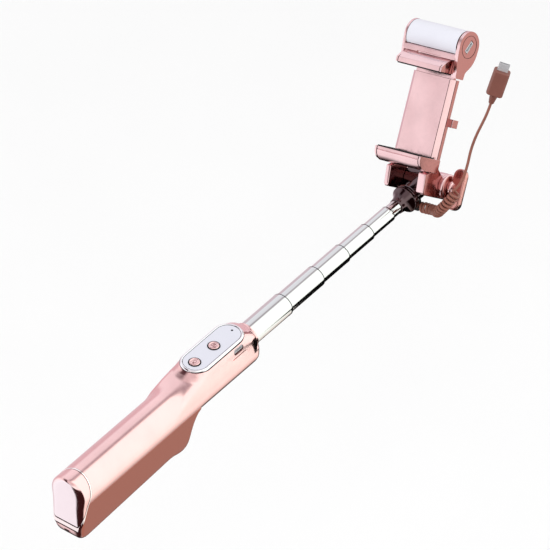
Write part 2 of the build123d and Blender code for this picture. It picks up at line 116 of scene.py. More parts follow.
def add_mesh(name, verts, faces, body, material, place=None, smooth=38.0, replaces=()):
    """A new piece from millimetre vertices, riding on a body."""
    mesh = bpy.data.meshes.new(name)
    mesh.from_pydata([[c * MM for c in v] for v in verts], [], faces)
    bm = bmesh.new()
    bm.from_mesh(mesh)
    bmesh.ops.remove_doubles(bm, verts=bm.verts, dist=1e-7)
    bmesh.ops.recalc_face_normals(bm, faces=bm.faces)
    bm.to_mesh(mesh)
    bm.free()
    if place is not None:
        mesh.transform(place)
    return finish_mesh(name, mesh, body, material, smooth, replaces)


def finish_mesh(name, mesh, body, material, smooth=38.0, replaces=()):
    mesh.polygons.foreach_set("use_smooth", [True] * len(mesh.polygons))
    mesh.set_sharp_from_angle(angle=math.radians(smooth))
    mesh.materials.clear()
    mesh.materials.append(MATERIALS[material])
    obj = bpy.data.objects.new(name, mesh)
    bpy.context.scene.collection.objects.link(obj)
    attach(obj, body)
    if replaces:
        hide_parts(*replaces)
    return obj


def soften(obj, width, segments=3, angle=35.0):
    """Round an object's sharp edges, with clean normals."""
    bevel = obj.modifiers.new("edges", "BEVEL")
    bevel.width = width * MM
    bevel.segments = segments
    bevel.limit_method = "ANGLE"
    bevel.angle_limit = math.radians(angle)
    normals = obj.modifiers.new("normals", "WEIGHTED_NORMAL")
    normals.keep_sharp = False
    return obj


def dress_cad(name, width):
    """A CAD part's own edges, rounded in the render: its mesh isn't touched."""
    obj = frame["nodes"][name]
    weld = obj.modifiers.new("weld", "WELD")
    weld.merge_threshold = 1e-6
    flat = obj.modifiers.new("flat", "DECIMATE")
    flat.decimate_type = "DISSOLVE"
    flat.angle_limit = math.radians(0.4)
    return soften(obj, width)


def loft(rings, capped=True):
    """Quads between closed rings of equally many points."""
    n = len(rings[0])
    verts = [p for ring in rings for p in ring]
    faces = []
    for k in range(len(rings) - 1):
        for i in range(n):
            j = (i + 1) % n
            faces.append((k * n + i, k * n + j, (k + 1) * n + j, (k + 1) * n + i))
    if capped:
        faces.append(tuple(reversed(range(n))))
        faces.append(tuple(range((len(rings) - 1) * n, len(rings) * n)))
    return verts, faces


def lathe(profile, axis="Z", steps=72, centre=(0.0, 0.0, 0.0), joined=False):
    """A turned solid from (radius, height) points. joined closes the profile on itself, as for a ring."""
    if joined:
        profile = profile + profile[:1]
    rings = []
    for r, h in profile:
        ring = []
        for i in range(steps):
            a = 2 * math.pi * i / steps
            p = {"X": (h, r * math.cos(a), r * math.sin(a)),
                 "Y": (r * math.cos(a), h, r * math.sin(a)),
                 "Z": (r * math.cos(a), r * math.sin(a), h)}[axis]
            ring.append([p[k] + centre[k] for k in range(3)])
        rings.append(ring)
    return loft(rings, capped=not joined)


def rounded(profile, radius, steps=4):
    """A (radius, height) profile with its inner corners rounded."""
    out = [profile[0]]
    for a, b, c in zip(profile, profile[1:], profile[2:]):
        pa, pb, pc = Vector(a), Vector(b), Vector(c)
        reach = min(radius, 0.45 * (pa - pb).length, 0.45 * (pc - pb).length)
        start = pb + (pa - pb).normalized() * reach
        end = pb + (pc - pb).normalized() * reach
        for k in range(steps + 1):
            t = k / steps
            out.append(tuple((1 - t) ** 2 * start + 2 * t * (1 - t) * pb + t * t * end))
    out.append(profile[-1])
    return out


def prism(outline, low, high):
    """An outline of (v, u) in the clamp's frame, extruded across it."""
    return loft([[(x, -v, u) for v, u in outline] for x in (low, high)])


def arc(cx, cy, r, start, stop, steps):
    """Points on an arc, degrees."""
    out = []
    for i in range(steps + 1):
        a = math.radians(start + (stop - start) * i / steps)
        out.append((cx + r * math.cos(a), cy + r * math.sin(a)))
    return out


def stadium(half, rear, front, steps=24):
    """A long round-ended outline as (x, y), its half circles' centres at rear and front."""
    return arc(0, front, half, 0, 180, steps) + arc(0, rear, half, 180, 360, steps)


def between(value, table):
    """Straight-line reading of a small falling or rising table."""
    for (a, fa), (b, fb) in zip(table, table[1:]):
        if min(a, b) <= value <= max(a, b):
            return fa + (fb - fa) * (value - a) / (b - a)
    return table[0][1] if abs(value - table[0][0]) < abs(value - table[-1][0]) else table[-1][1]


def smooth_step(t):
    t = min(1.0, max(0.0, t))
    return t * t * (3 - 2 * t)


def at_y(from_rear):
    return REAR_Y + from_rear


def cut(obj, verts, faces, place=None):
    """Cut a closed shape out of a piece's mesh."""
    mesh = bpy.data.meshes.new("cutter")
    mesh.from_pydata([[c * MM for c in v] for v in verts], [], faces)
    if place is not None:
        mesh.transform(place)
    bm = bmesh.new()
    bm.from_mesh(mesh)
    bmesh.ops.recalc_face_normals(bm, faces=bm.faces)
    bm.to_mesh(mesh)
    bm.free()
    tool = bpy.data.objects.new("cutter", mesh)
    bpy.context.scene.collection.objects.link(tool)
    boolean = obj.modifiers.new("cut", "BOOLEAN")
    boolean.operation = "DIFFERENCE"
    boolean.solver = "EXACT"
    boolean.object = tool
    bpy.context.view_layer.update()
    made = bpy.data.meshes.new_from_object(obj.evaluated_get(bpy.context.evaluated_depsgraph_get()))
    obj.modifiers.remove(boolean)
    obj.data = made
    bpy.data.objects.remove(tool)


def slice_mesh(verts, faces, keep_behind=None, keep_ahead=None):
    """Keep what lies between two copies of the rear cap's tilted plane, moved forward by these offsets."""
    bm = bmesh.new()
    points = [bm.verts.new(v) for v in verts]
    for f in faces:
        bm.faces.new([points[i] for i in f])
    bmesh.ops.remove_doubles(bm, verts=bm.verts, dist=1e-4)
    bmesh.ops.recalc_face_normals(bm, faces=bm.faces)
    normal = Vector((0, 1, -CAP_SLOPE)).normalized()
    for offset, drop_ahead in ((keep_behind, True), (keep_ahead, False)):
        if offset is None:
            continue
        place = Vector((0, at_y(CAP_Y + offset), 0))
        result = bmesh.ops.bisect_plane(
            bm, geom=bm.verts[:] + bm.edges[:] + bm.faces[:], dist=1e-5, plane_co=place, plane_no=normal,
            clear_outer=drop_ahead, clear_inner=not drop_ahead)
        edges = [e for e in result["geom_cut"] if isinstance(e, bmesh.types.BMEdge)]
        bmesh.ops.holes_fill(bm, edges=edges, sides=0)
    bm.verts.ensure_lookup_table()
    out_verts = [tuple(v.co) for v in bm.verts]
    bm.verts.index_update()
    out_faces = [tuple(v.index for v in f.verts) for f in bm.faces]
    bm.free()
    return out_verts, out_faces


# ---------------------------------------------------------------- materials

def new_material(name, color, metallic=0.0, roughness=0.3):
    mat = bpy.data.materials.new(name)
    mat.use_nodes = True
    shader = mat.node_tree.nodes["Principled BSDF"]
    shader.inputs["Base Color"].default_value = (*color, 1)
    shader.inputs["Metallic"].default_value = metallic
    shader.inputs["Roughness"].default_value = roughness
    return mat, mat.node_tree, shader


def noise(tree, scale, detail=4.0, stretch=(1, 1, 1)):
    """Noise on the object's own coordinates, in cycles per metre."""
    coord = tree.nodes.new("ShaderNodeTexCoord")
    mapping = tree.nodes.new("ShaderNodeMapping")
    mapping.inputs["Scale"].default_value = stretch
    tex = tree.nodes.new("ShaderNodeTexNoise")
    tex.inputs["Scale"].default_value = scale
    tex.inputs["Detail"].default_value = detail
    tree.links.new(coord.outputs["Object"], mapping.inputs["Vector"])
    tree.links.new(mapping.outputs["Vector"], tex.inputs["Vector"])
    return tex.outputs["Fac"]


def ramp(tree, source, stops):
    node = tree.nodes.new("ShaderNodeValToRGB")
    marks = node.color_ramp.elements
    while len(marks) < len(stops):
        marks.new(0.5)
    for mark, (place, color) in zip(marks, stops):
        mark.position = place
        mark.color = (*color, 1)
    tree.links.new(source, node.inputs["Fac"])
    return node.outputs["Color"]


def roughness_from(tree, shader, source, low, high):
    span = tree.nodes.new("ShaderNodeMapRange")
    span.inputs["From Min"].default_value = 0.3
    span.inputs["From Max"].default_value = 0.7
    span.inputs["To Min"].default_value = low
    span.inputs["To Max"].default_value = high
    tree.links.new(source, span.inputs["Value"])
    tree.links.new(span.outputs["Result"], shader.inputs["Roughness"])


def bump_from(tree, shader, source, strength, depth):
    bump = tree.nodes.new("ShaderNodeBump")
    bump.inputs["Strength"].default_value = strength
    bump.inputs["Distance"].default_value = depth
    tree.links.new(source, bump.inputs["Height"])
    tree.links.new(bump.outputs["Normal"], shader.inputs["Normal"])


def shade(color, factor):
    return tuple(min(1.0, c * factor) for c in color)


def plated(name, color, low=0.10, high=0.20, coat=0.4, spread=0.05):
    """Glossy electroplated plastic: soft orange peel, faint cloudiness in the gloss and in the tint."""
    mat, tree, shader = new_material(name, color, metallic=1.0)
    cloud = noise(tree, 60.0, 3.0)
    tint = ramp(tree, cloud, [(0.25, shade(color, 1 - spread)), (0.75, shade(color, 1 + spread))])
    tree.links.new(tint, shader.inputs["Base Color"])
    roughness_from(tree, shader, noise(tree, 420.0, 6.0), low, high)
    bump_from(tree, shader, noise(tree, 900.0, 2.0), 0.05, 0.0002)
    shader.inputs["Coat Weight"].default_value = coat
    shader.inputs["Coat Roughness"].default_value = 0.06
    return mat


def painted_shading_mask(tree, direction):
    """Mask for painted light and shade: 1 on faces that look along a direction or against it, 0 elsewhere, in the
    object's own frame.
    """
    coord = tree.nodes.new("ShaderNodeTexCoord")
    dot = tree.nodes.new("ShaderNodeVectorMath")
    dot.operation = "DOT_PRODUCT"
    dot.inputs[1].default_value = direction
    tree.links.new(coord.outputs["Normal"], dot.inputs[0])
    size = tree.nodes.new("ShaderNodeMath")
    size.operation = "ABSOLUTE"
    tree.links.new(dot.outputs["Value"], size.inputs[0])
    share = tree.nodes.new("ShaderNodeMapRange")
    share.inputs["From Min"].default_value = 0.6
    share.inputs["From Max"].default_value = 0.95
    tree.links.new(size.outputs["Value"], share.inputs["Value"])
    return share.outputs["Result"]


def plated_with_painted_shading(name, color, painted_tone, direction, wave=0.0, coat=0.4):
    """Plating with a painted tint on faces that look along a direction: painted shade where that tint is darker,
    painted highlight where it is paler, standing in for how light falls on those faces. wave is a slow swell.
    """
    mat = plated(name, color, coat=coat, spread=0.06)
    tree = mat.node_tree
    shader = tree.nodes["Principled BSDF"]
    tint = shader.inputs["Base Color"].links[0].from_socket
    # painted light and shade: faces that look along the direction get the painted tone in place of the plating's
    # own tint
    mix = tree.nodes.new("ShaderNodeMix")
    mix.data_type = "RGBA"
    mix.inputs["B"].default_value = (*painted_tone, 1)
    tree.links.new(painted_shading_mask(tree, direction), mix.inputs["Factor"])
    tree.links.new(tint, mix.inputs["A"])
    tree.links.new(mix.outputs["Result"], shader.inputs["Base Color"])
    if wave:
        bump_from(tree, shader, noise(tree, 26.0, 1.0), wave, 0.004)
    return mat


def turned_chrome(name, color, low=0.05, high=0.12, metallic=1.0):
    """Plated tube with very fine marks along its length from sliding."""
    mat, tree, shader = new_material(name, color, metallic=metallic)
    marks = noise(tree, 900.0, 5.0, stretch=(1, 0.02, 1))
    tint = ramp(tree, marks, [(0.3, shade(color, 0.96)), (0.7, shade(color, 1.02))])
    tree.links.new(tint, shader.inputs["Base Color"])
    roughness_from(tree, shader, marks, low, high)
    bump_from(tree, shader, marks, 0.03, 0.0001)
    return mat


def moulded(name, color, low=0.35, high=0.5, grain=1400.0, strength=0.25, variation=0.06):
    """Moulded plastic or rubber with a fine grain."""
    mat, tree, shader = new_material(name, color)
    cloud = noise(tree, 90.0, 3.0)
    tint = ramp(tree, cloud, [(0.3, shade(color, 1 - variation)), (0.7, shade(color, 1 + variation))])
    tree.links.new(tint, shader.inputs["Base Color"])
    fine = noise(tree, grain, 5.0)
    roughness_from(tree, shader, fine, low, high)
    bump_from(tree, shader, fine, strength, 0.00005)
    return mat


def gloss_white(name):
    mat = moulded(name, (0.68, 0.68, 0.76), 0.12, 0.2, grain=500.0, strength=0.04, variation=0.01)
    shader = mat.node_tree.nodes["Principled BSDF"]
    shader.inputs["Coat Weight"].default_value = 0.6
    shader.inputs["Coat Roughness"].default_value = 0.05
    return mat


def frosted_white(name):
    mat = moulded(name, (0.76, 0.76, 0.83), 0.45, 0.6, grain=2200.0, strength=0.12, variation=0.01)
    shader = mat.node_tree.nodes["Principled BSDF"]
    shader.inputs["Subsurface Weight"].default_value = 0.25
    shader.inputs["Subsurface Radius"].default_value = (0.002, 0.002, 0.002)
    return mat


def dull(mat, level):
    """Less shine, for pieces that sit in the dark."""
    mat.node_tree.nodes["Principled BSDF"].inputs["Specular IOR Level"].default_value = level
    return mat


ROSE = (0.87, 0.56, 0.55)
ACROSS = HEAD.col[0].to_3d()
MATERIALS = {
    "rose": plated("rose_plating", ROSE),
    # painted shade: the head's plating is drawn much darker on faces that look across the clamp, standing in for
    # the shade on those sides
    "rose_head": plated_with_painted_shading("rose_plating_head_painted_shade", (0.82, 0.56, 0.57), (0.36, 0.13, 0.12), ACROSS, wave=0.5),
    # painted shade: the belly's faces that look left and right are drawn dark brown, a painted dark reflection on
    # the same rose plating
    "rose_belly_painted_shade": plated_with_painted_shading("rose_plating_painted_shade_sides", ROSE, (0.30, 0.080, 0.052), (1, 0, 0), coat=0.05),
    # painted highlight: faces that look along the stick, the flat end face, are drawn paler than the plating
    "rose_end_painted_highlight": plated_with_painted_shading("rose_plating_end_painted_highlight", ROSE, (0.86, 0.75, 0.78), (0, 1, 0)),
    # painted shade: the knob's rose plating is drawn as a darker copy of itself
    "copper_knob": plated("rose_plating_knob_painted_shade", (0.58, 0.27, 0.24)),
    "trim": plated("ring_plating", (0.92, 0.80, 0.79), 0.05, 0.1),
    "tube": turned_chrome("tube_chrome", (0.70, 0.70, 0.70)),
    "smoked": turned_chrome("dark_chrome", (0.11, 0.075, 0.08), 0.06, 0.14),
    "bezel": turned_chrome("bright_trim", (0.88, 0.87, 0.90), 0.03, 0.07),
    "panel": gloss_white("panel_white"),
    "button": plated("button_rose", (0.84, 0.56, 0.55), 0.14, 0.24),
    "ink": moulded("button_mark", (0.30, 0.12, 0.12)),
    "black": dull(moulded("black_plastic", (0.010, 0.009, 0.010)), 0.15),
    "rubber": dull(moulded("jaw_rubber", (0.020, 0.016, 0.018), 0.6, 0.8, 1800.0, 0.5), 0.2),
    "steel": turned_chrome("steel", (0.66, 0.66, 0.68), 0.15, 0.3, metallic=0.35),
    "board": moulded("board_green", (0.02, 0.14, 0.05), 0.3, 0.4),
    "cell": moulded("cell_wrap", (0.03, 0.12, 0.35), 0.25, 0.35),
    "diffuser": frosted_white("diffuser_white"),
    "led": moulded("led_yellow", (0.80, 0.65, 0.15), 0.3, 0.4),
    "cord": moulded("cord_copper", (0.27, 0.095, 0.066), 0.30, 0.42, 2600.0, 0.3, variation=0.12),
    "plug": moulded("plug_copper", (0.22, 0.076, 0.056), 0.32, 0.45, 2200.0),
    "gap": dull(moulded("gap_dark", (0.03, 0.006, 0.008), 0.4, 0.5), 0.15),
}
MATERIAL_OF_SLOT = {
    "rose_plating": "rose", "ring_plating": "trim", "tube_chrome": "tube", "dark_chrome": "smoked",
    "bright_trim": "bezel", "panel_white": "panel", "button_rose": "button", "black_plastic": "black",
    "jaw_rubber": "rubber", "steel": "steel", "board_green": "board", "switch_black": "black",
    "cell_wrap": "cell", "port_ring": "rose_head", "diffuser_white": "diffuser", "led_yellow": "led",
    "cord_copper": "cord", "plug_copper": "plug", "tongue_dark": "black",
}
SLOT_NAME = {material: slot for slot, material in reversed(MATERIAL_OF_SLOT.items())}
SLOT_NAME.update({"rose_belly_painted_shade": "rose_plating", "copper_knob": "rose_plating", "ink": "button_rose",
                  "gap": "black_plastic", "rose_head": "rose_plating", "rose_end_painted_highlight": "rose_plating"})


# ---------------------------------------------------------------- handle

# How far the nose reaches past the panel's two ends at each height, as (height, reach)
REAR_FALL = [
    (18.3, 0.0), (16.6, 1.2), (14.5, 5.0), (13.0, 11.0), (11.5, 17.0), (8.0, 27.0), (4.0, 33.0), (0.0, 36.0),
]
FRONT_RISE = [(18.3, 0.0), (16.6, 2.4), (15.0, 5.0), (13.0, 7.8), (11.5, 8.6), (8.0, 9.4), (0.0, 9.6)]


def nose_height(x, y):
    """Height of the raised nose over a point of the plan, 0 outside it."""
    low, high = 0.0, NOSE_TOP
    for _ in range(22):
        z = (low + high) / 2
        half = NOSE_HALF * math.sqrt(1 - (z / NOSE_TALL) ** 2)
        beyond = max(PANEL_REAR - between(z, REAR_FALL) - y, y - PANEL_FRONT - between(z, FRONT_RISE), 0.0)
        if math.hypot(x, beyond) < half:
            low = z
        else:
            high = z
    return low


def soft_max(a, b, blend):
    h = max(blend - abs(a - b), 0.0) / blend
    return max(a, b) + h * h * blend / 4


def barrel_ring(y):
    """Cross-section of the upper shell at a distance from the flat end."""
    t = max(0.0, (y - NOSE_START) / (NOSE_TIP + 2.5 - NOSE_START))
    wide = BARREL_R * math.sqrt(1 - t * t)
    t_low = max(0.0, (y - NOSE_LOW_START) / (NOSE_TIP + 2.0 - NOSE_LOW_START))
    deep = BARREL_R * math.sqrt(1 - t_low * t_low)
    pull = smooth_step((y - NOSE_PULL) / (NOSE_TIP - NOSE_PULL))
    ring = []
    for i in range(RING_POINTS):
        a = 2 * math.pi * i / RING_POINTS
        x = wide * math.cos(a)
        if math.sin(a) >= 0:
            z = soft_max(BARREL_R * math.sqrt(max(0.0, 1 - (x / BARREL_R) ** 2)) * wide / BARREL_R,
                         nose_height(x, y), 2.0)
            z *= smooth_step(math.sin(a) / 0.06)
        else:
            z = deep * math.sin(a)
        rim_x = RIM_R * math.cos(a)
        rim_z = POLE_Z + RIM_R * math.sin(a)
        ring.append((x + (rim_x - x) * pull, at_y(y), z + (rim_z - z) * pull))
    return ring


def upper_shell():
    stations = [1.0, 4.0, 8.0, 14.0] + [14.0 + 8.0 * k for k in range(1, 8)]
    stations += [74.0 + 2.0 * k for k in range(11)] + [96.0 + 1.0 * k for k in range(42)]
    stations += [139.0 + 3.0 * k for k in range(10)]
    stations += [167.0 + 0.5 * k for k in range(23)] + [NOSE_TIP]
    rings = [barrel_ring(y) for y in stations]
    mouth = [(RIM_R - 0.15, NOSE_TIP + 0.1), (COLLAR_HOLE_R + 0.04, NOSE_TIP - 0.1)]
    mouth += [(COLLAR_HOLE_R, NOSE_TIP - 0.8), (COLLAR_HOLE_R, COLLAR_HOLE_END)]
    for r, y in mouth:
        ring = []
        for i in range(RING_POINTS):
            a = 2 * math.pi * i / RING_POINTS
            ring.append((r * math.cos(a), at_y(y), POLE_Z + r * math.sin(a)))
        rings.append(ring)
    verts, faces = slice_mesh(*loft(rings), keep_ahead=SHELL_START)
    obj = add_mesh("upper_shell", verts, faces, "handle", "rose", smooth=42, replaces=["upper_housing"])
    port = stadium(2.05, -2.6, 2.6, 10)
    groove = stadium(0.28, -6.3, 6.3, 6)
    for outline, height, depth in ((port, PORT_Z, 6.0), (groove, PORT_GROOVE_Z, 11.0)):
        cutter = [[(x, at_y(PORT_Y) + b, height + a) for a, b in outline] for x in (depth, 16.0)]
        cut(obj, *loft(cutter))
    smooth_again(obj, 42)


def smooth_again(obj, angle):
    obj.data.polygons.foreach_set("use_smooth", [True] * len(obj.data.polygons))
    obj.data.set_sharp_from_angle(angle=math.radians(angle))


def side_half(z):
    """Half width of the belly at a height."""
    return BELLY_TOP_HALF + (BELLY_LOW_HALF - BELLY_TOP_HALF) * (CREASE_Z - z) / (CREASE_Z - BELLY_LOW_Z)


def end_inset(y):
    """How far the sides stand in near the flat end, a quarter-round."""
    t = min(1.0, max(0.0, 1 - y / END_FILLET))
    return END_FILLET * (1 - math.sqrt(1 - t * t))


def belly_ring(y, low):
    """Closed section of the belly, from its floor at height low up into the barrel."""
    inset = end_inset(y)
    corner = min(2.0 + 3.0 * smooth_step(1 - y / 9), 0.45 * (CREASE_Z - low))
    half = side_half(low + corner) - inset
    top = side_half(CREASE_Z) - inset
    right = [(top - 1.2, CREASE_Z + 2.4), (top - 0.12, CREASE_Z)]
    right += [(side_half(CREASE_Z - 0.12) - inset, CREASE_Z - 0.12)]
    for k in range(1, 5):
        z = CREASE_Z - 0.12 + (low + corner - CREASE_Z + 0.12) * k / 5
        right.append((side_half(z) - inset, z))
    for k in range(9):
        a = math.radians(10 * k + 5)
        right.append((half - corner + corner * math.cos(a), low + corner - corner * math.sin(a)))
    right.append((0.35 * half, low))
    points = right + [(-x, z) for x, z in reversed(right)]
    return [(x, at_y(y), z) for x, z in points]


# Side outline of the belly's floor, as (distance from the flat end, height)
BELLY_SIDE = [
    (0.0, -24.7), (0.35, -26.6), (0.9, -28.8), (1.8, -31.0), (3.0, -32.5), (4.6, -33.3),
    (6.6, -33.5), (9.0, -33.4), (30.0, -32.3), (50.0, -31.3), (70.0, -30.3), (84.0, -29.5),
    (89.0, -29.3), (92.0, -29.6), (95.0, -30.4), (97.5, -31.1), (100.0, -31.4), (102.0, -31.4),
    (103.6, -31.0), (105.0, -30.2), (106.2, -28.8), (107.2, -26.8), (107.8, -24.8), (108.4, -22.5),
    (109.0, -20.2), (109.7, -18.0), (110.5, -15.8), (111.4, -13.8), (112.4, -12.0), (113.6, -10.2),
    (115.0, -8.7), (117.0, -7.1),
]


def belly_shell():
    rings = [belly_ring(y, z) for y, z in BELLY_SIDE]
    verts, faces = slice_mesh(*loft(rings), keep_ahead=SHELL_START)
    obj = add_mesh("belly_shell", verts, faces, "handle", "rose_belly_painted_shade", smooth=32, replaces=["belly_housing"])
    outline = stadium(0.85, -1.7, 1.7, 8)
    cut(obj, *loft([[(b, y, LANYARD_Z + a) for a, b in outline] for y in (at_y(-3), at_y(6.4))]))
    smooth_again(obj, 32)


# How far the end face's sides stand in at each height, as (height, inset)
END_SIDE = [(0.0, 6.4), (-6.0, 5.6), (-14.0, 4.6), (-24.0, 3.2), (-31.0, 3.0)]


def cap_ring_points(y, grow=0.0):
    """Section of barrel and belly together, near the flat end. The end face narrows towards the top."""
    share = end_inset(y) / END_FILLET
    top_inset = 1.9 * share - grow
    right = []
    for k in range(19):
        a = math.radians(90 - 5 * k)
        right.append(((BARREL_R - 6.4 * share + grow) * math.cos(a), (BARREL_R - top_inset) * math.sin(a)))
    for k in range(1, 9):
        z = -3.0 * k
        half = BARREL_R - 0.035 * abs(z) - 0.6 * smooth_step(-z / 8)
        right.append((half - between(z, END_SIDE) * share + grow, z))
    low = BELLY_LOW_Z - 3.0
    inset = 3.0 * share - grow
    right += [(10.9 - inset, -27.0), (10.3 - inset, -29.6), (9.0 - inset, low + 0.7)]
    right += [(7.2 - inset, low), (3.0, low)]
    points = right + [(-x, z) for x, z in reversed(right)]
    return [(x, at_y(y), z) for x, z in points]


def end_form(length, grow=0.0):
    """The handle's rounded rear end as one closed form, made larger or smaller by grow."""
    stations = [END_FILLET * (1 - math.sin(math.radians(9 * k))) for k in range(10, -1, -1)]
    stations += [4.6]
    stations += range(6, length + 1, 2)
    return loft([cap_ring_points(y, grow) for y in stations])


def rear_cap_shell():
    verts, faces = slice_mesh(*end_form(14), keep_behind=-0.33)
    add_mesh("rear_cap_shell", verts, faces, "handle", "rose_end_painted_highlight", smooth=40, replaces=["rear_cap"])


def cap_trim():
    """The bright ring, with a dark gap behind it and a dark joint ahead of it."""
    dark = end_form(16, -0.12)
    add_mesh("cap_gap", *slice_mesh(*dark, keep_behind=0.0, keep_ahead=-0.34), "handle", "gap")
    add_mesh("cap_joint", *slice_mesh(*dark, keep_behind=1.3, keep_ahead=TRIM_LEN), "handle", "gap")
    verts, faces = slice_mesh(*end_form(16, 0.16), keep_behind=TRIM_LEN, keep_ahead=0.0)
    add_mesh("cap_trim", verts, faces, "handle", "trim", replaces=["cap_ring"])


def panel_ring(section):
    """A ring round the panel from its section, as (half width, height)."""
    rings = []
    for half, z in section + section[:1]:
        rings.append([(x, at_y(y), z) for x, y in stadium(half, PANEL_REAR, PANEL_FRONT, 32)])
    return loft(rings, capped=False)


def panel_frame():
    """Chrome frame round the panel, with a rounded top."""
    corners = [(9.2, 17.0), (10.15, 17.6), (10.05, 18.55), (9.35, 19.25)]
    corners += [(8.75, 19.3), (8.32, 18.9), (8.3, 17.0)]
    frame_form = panel_ring(rounded(corners, 0.3, 3))
    add_mesh("panel_frame", *frame_form, "handle", "bezel", replaces=["panel_bezel"])
    seams = (("inner", 8.25, 8.5, 18.2, 19.02), ("outer", 9.95, 10.28, 16.6, 18.05))
    for name, inner, outer, low, high in seams:
        section = [(inner, low), (outer, low), (outer, high), (inner, high)]
        add_mesh("panel_seam_" + name, *panel_ring(section), "handle", "black")


MARK_R = 0.13


def key_cap(name, node, body):
    """A round key with a dished top and a rolled rim. Returns the place of its mark."""
    low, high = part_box(node)
    y = (low.y + high.y) / 2 / MM
    z = high.z / MM
    profile = [(0.0, z - 2.6), (3.5, z - 2.6), (3.5, z - 0.65), (3.38, z - 0.28), (3.15, z - 0.05)]
    profile += [(2.85, z), (2.65, z - 0.05), (2.5, z - 0.2), (1.5, z - 0.28), (0.0, z - 0.3)]
    add_mesh(name, *lathe(profile, centre=(0, y, 0)), body, "button", smooth=60, replaces=[node])
    ring = [(3.52, z - 1.1), (4.15, z - 1.1), (4.1, z - 0.55), (3.9, z - 0.35), (3.52, z - 0.5)]
    ring = rounded(ring, 0.1, 3)
    add_mesh(name + "_ring", *lathe(ring, centre=(0, y, 0), joined=True), "handle", "black")
    return 0, y, z - 0.24


def mark(name, paths, body, place):
    """Thin raised lines of a pictogram, each closed on itself."""
    curve = bpy.data.curves.new(name, "CURVE")
    curve.dimensions = "3D"
    curve.bevel_depth = MARK_R * MM
    curve.bevel_resolution = 1
    for path in paths:
        spline = curve.splines.new("POLY")
        spline.points.add(len(path) - 1)
        for point, (x, y) in zip(spline.points, path):
            point.co = ((place[0] + x) * MM, (place[1] + y) * MM, place[2] * MM, 1)
        spline.use_cyclic_u = True
    curve.materials.append(MATERIALS["ink"])
    obj = bpy.data.objects.new(name, curve)
    bpy.context.scene.collection.objects.link(obj)
    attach(obj, body)


def keys():
    place = key_cap("shutter_key_cap", "shutter_button", "shutter_key")
    body = arc(1.15, 0.7, 0.35, 0, 90, 3) + arc(-1.15, 0.7, 0.35, 90, 180, 3)
    body += arc(-1.15, -0.7, 0.35, 180, 270, 3) + arc(1.15, -0.7, 0.35, 270, 360, 3)
    hump = [(-0.7, 1.1), (-0.4, 1.5), (0.4, 1.5), (0.7, 1.1)]
    mark("shutter_mark", [body, arc(0, 0, 0.62, 0, 345, 20), hump], "shutter_key", place)
    place = key_cap("light_key_cap", "light_button", "light_key")
    bulb = arc(0, 0.35, 1.0, -50, 230, 18) + [(-0.5, -0.9), (0.5, -0.9)]
    base = [(-0.45, -1.3), (0.45, -1.3), (0.45, -1.55), (-0.45, -1.55)]
    mark("light_mark", [bulb, base], "light_key", place)


# ---------------------------------------------------------------- pole

TUBES = 6
TUBE_WALL = 0.4
TUBE_FIT = 0.05


def pole():
    """Each tube with a rolled lip at its front end, and a fine dark joint against the next one."""
    place = (0, 0, POLE_Z)
    for i in range(1, TUBES + 1):
        node = "tube_%d" % i
        low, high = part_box(node)
        r = (high.x - low.x) / 2 / MM
        y0, y1 = low.y / MM, high.y / MM
        inner = r - TUBE_WALL
        if i < TUBES:
            nlow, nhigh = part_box("tube_%d" % (i + 1))
            lip = (nhigh.x - nlow.x) / 2 / MM + TUBE_FIT
            profile = [(inner, y0), (r, y0), (r, y1 - 1.9), (r + 0.04, y1 - 1.6), (r + 0.04, y1 - 0.6),
                       (r - 0.02, y1 - 0.25), (r - 0.16, y1 - 0.05), (r - 0.34, y1), (lip + 0.1, y1),
                       (lip, y1 - 0.1), (lip, y1 - 1.9), (inner, y1 - 2.1)]
        else:
            profile = [(inner, y0), (r, y0), (r, y1), (inner, y1)]
        skin = lathe(profile, "Y", RING_POINTS, place, joined=True)
        add_mesh(node + "_skin", *skin, node, "tube", smooth=45, replaces=[node])
        if i < TUBES:
            inside, outside = lip + 0.05, r + 0.05
            section = [(inside, y1 - 0.5), (outside, y1 - 0.5), (outside, y1 + 0.02), (inside, y1 + 0.06)]
            seal = lathe(section, "Y", RING_POINTS, place, joined=True)
            add_mesh(node + "_seal", *seal, node, "black", smooth=45)


def trumpet_collar():
    y = HINGE.y / MM
    outline = [
        (4.57, -31.2), (4.85, -31.2), (5.0, -31.0), (5.1, -30.4), (5.2, -29.4), (5.4, -28.2),
        (5.75, -27.0), (6.3, -25.8), (7.0, -24.6), (7.95, -23.6), (8.6, -23.0), (8.95, -22.6),
        (9.0, -22.0), (9.0, -21.3), (8.75, -21.05), (8.75, -20.75), (9.0, -20.5), (9.0, -19.4),
        (8.85, -18.6), (8.4, -18.2), (4.05, -18.2), (4.05, -26.0), (4.57, -26.0),
    ]
    profile = [(r, h + y) for r, h in outline]
    horn = lathe(profile, "Y", RING_POINTS, (0, 0, POLE_Z), joined=True)
    add_mesh("trumpet_collar", *horn, "tube_6", "smoked", replaces=["flange_collar"])


# ---------------------------------------------------------------- head

KNOB_X = 25.65             # middle of the paddle


def tilt_knob():
    """Round-ended paddle on a turned stem."""
    paddle = stadium(4.75, -8.6, 8.6, 20)
    rings = [[(KNOB_X + a, y, b) for a, b in paddle] for y in (-2.3, 2.3)]
    obj = add_mesh("tilt_knob", *loft(rings), "knob", "copper_knob", place=HEAD, replaces=["t_knob"])
    soften(obj, 1.3, 5, 30)
    stem = [(0.0, 20.1), (4.5, 20.1), (4.7, 20.4), (4.7, 22.0)]
    stem += [(4.5, 22.6), (4.0, 23.0), (3.8, 24.0), (0.0, 24.0)]
    add_mesh("knob_stem", *lathe(stem, "X"), "knob", "rose", place=HEAD)


